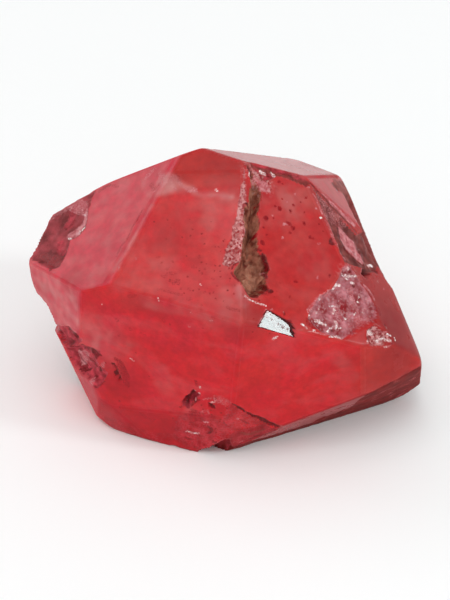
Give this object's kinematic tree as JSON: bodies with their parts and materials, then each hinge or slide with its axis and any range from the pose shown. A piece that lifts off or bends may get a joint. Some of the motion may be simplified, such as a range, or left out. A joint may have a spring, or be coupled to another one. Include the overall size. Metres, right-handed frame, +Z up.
{
  "type": "hematoid quartz point",
  "caption": "Chunky polished point of cloudy red hematoid quartz with flat facets, natural skin patches and a brown iron-stained seam, standing on its flat root.",
  "frame": {"origin": "middle of the bounding box in plan, at the level of the flat root face that the stone stands on", "axes": "+Z up out of the root face; +X along the stone's length, towards its pointed lower right corner; -Y is the front with the seam"},
  "size_m": [0.0458, 0.0307, 0.0317],
  "materials": {
    "quartz": "polished cloudy red quartz with dull natural patches"
  },
  "bodies": {
    "root": {"quartz_point": "quartz"}
  },
  "joints": []
}
